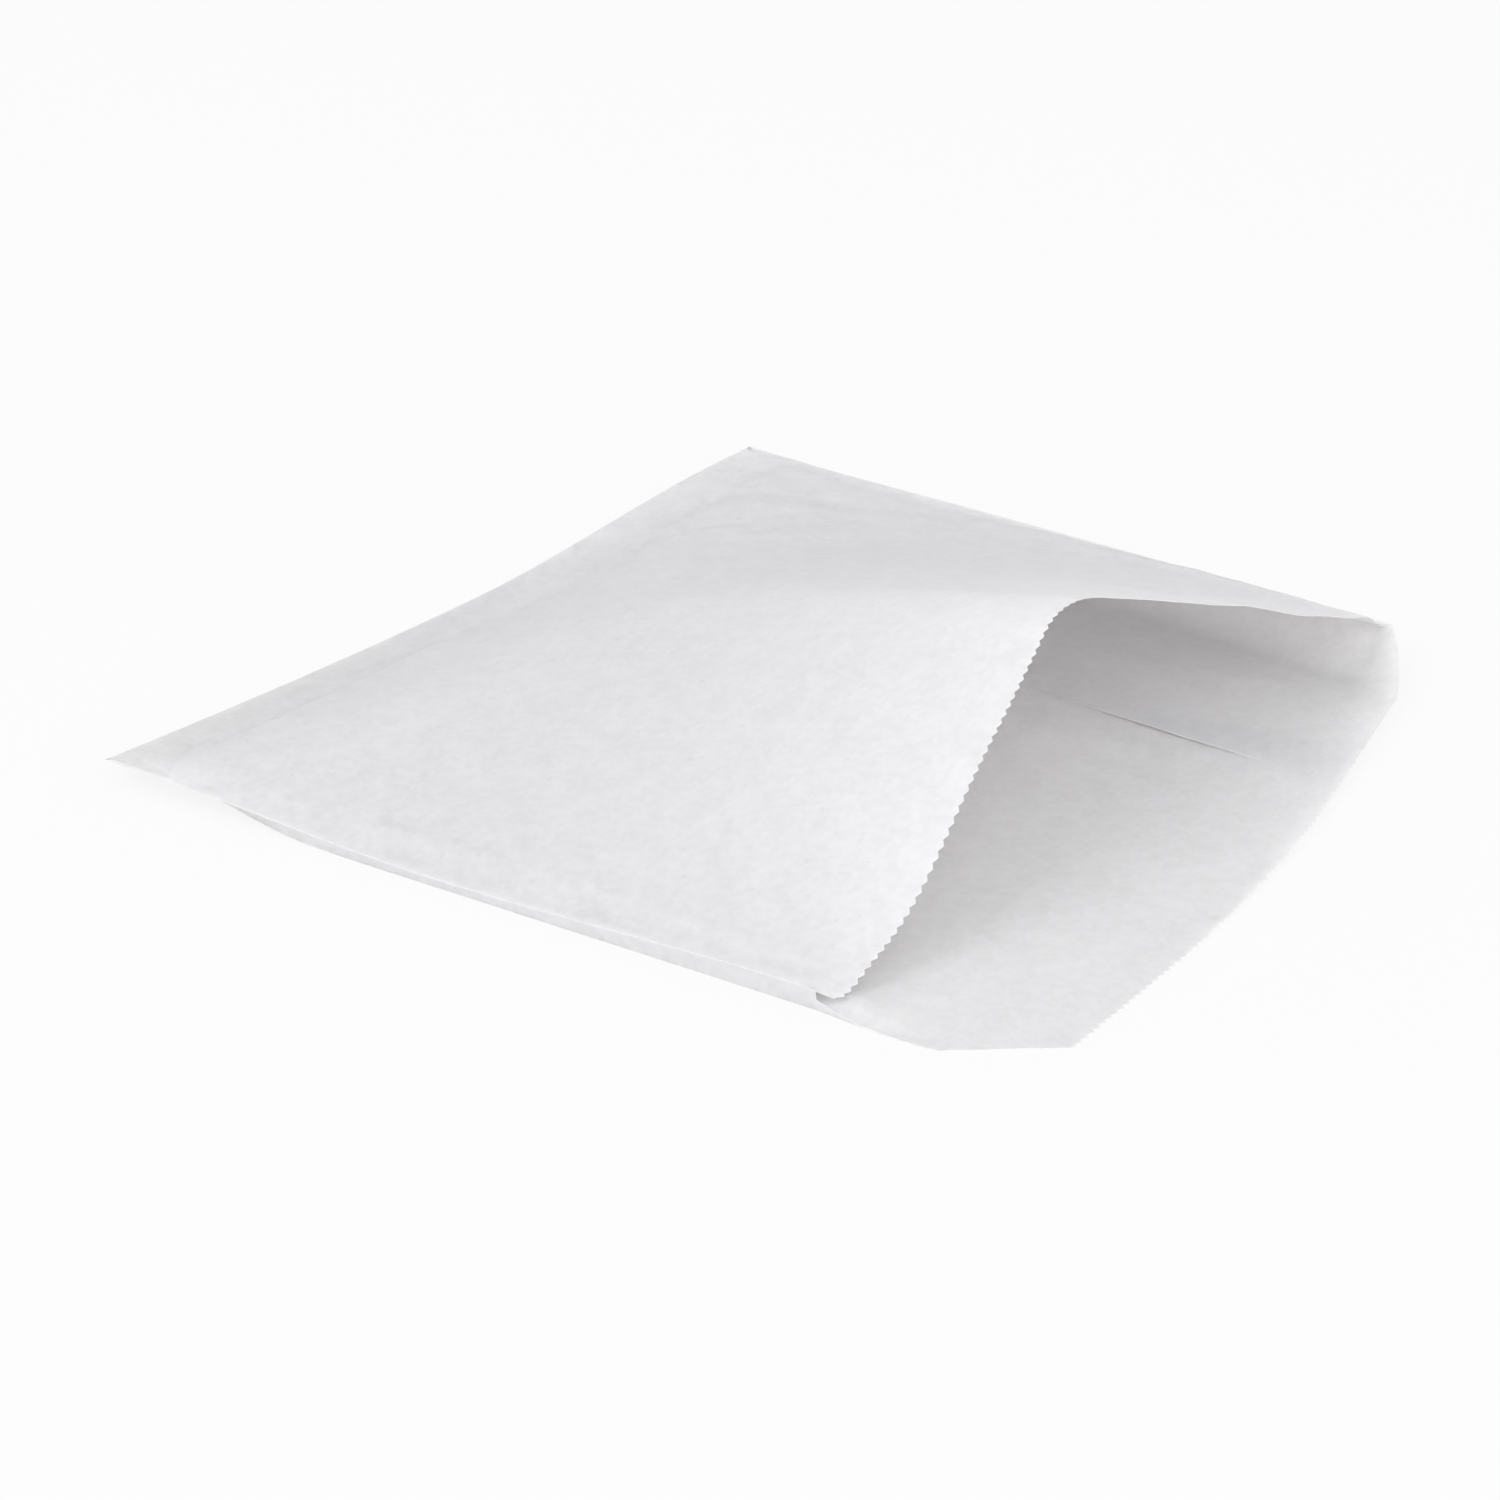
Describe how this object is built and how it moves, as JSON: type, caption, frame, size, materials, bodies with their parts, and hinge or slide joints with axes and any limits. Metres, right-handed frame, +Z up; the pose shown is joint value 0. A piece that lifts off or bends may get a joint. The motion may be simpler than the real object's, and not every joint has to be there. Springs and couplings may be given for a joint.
{
  "type": "greaseproof paper bag",
  "caption": "Flat white greaseproof paper bag lying on its back, mouth opened, with pinked edges and a longer back lip.",
  "frame": {"origin": "on the table, under the middle of the bag's box", "axes": "+X from the closed end towards the mouth, +Y from the near crease to the far crease, +Z up from the table"},
  "size_m": [0.2144, 0.216, 0.0444],
  "materials": {
    "greaseproof_paper": "white greaseproof paper, matt with a faint mottle"
  },
  "bodies": {
    "root": {"paper_bag": "greaseproof_paper"}
  },
  "joints": []
}
